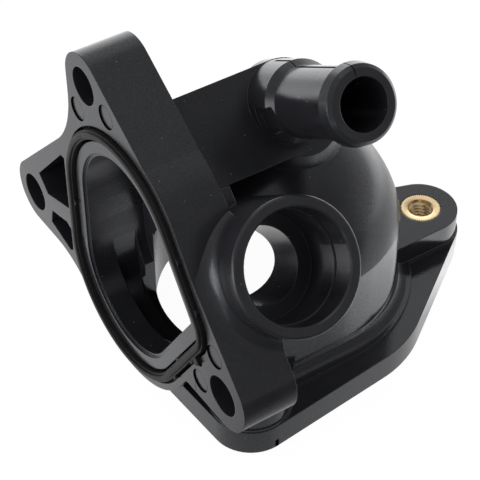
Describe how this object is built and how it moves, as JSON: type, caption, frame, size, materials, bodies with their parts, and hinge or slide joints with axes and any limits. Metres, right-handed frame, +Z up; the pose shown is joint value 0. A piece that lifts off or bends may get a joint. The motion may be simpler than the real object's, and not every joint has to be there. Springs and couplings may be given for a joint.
{
  "type": "coolant outlet housing",
  "caption": "Black moulded coolant outlet housing with a three-hole seal face, a domed chamber, a hose port, a beaded hose pipe and brass inserts in its base.",
  "frame": {"origin": "centre of the chamber on the bottom face of the base plate", "axes": "+Z up along the chamber axis, -X towards the seal face, -Y towards the hose port and the hose pipe"},
  "size_m": [0.094, 0.101, 0.0877],
  "materials": {
    "body_plastic": "fine grained, semi-matt",
    "seal_rubber": "matt",
    "insert_brass": "machined"
  },
  "bodies": {
    "root": {"housing": "body_plastic", "seal": "seal_rubber", "inserts": "insert_brass"}
  },
  "joints": []
}
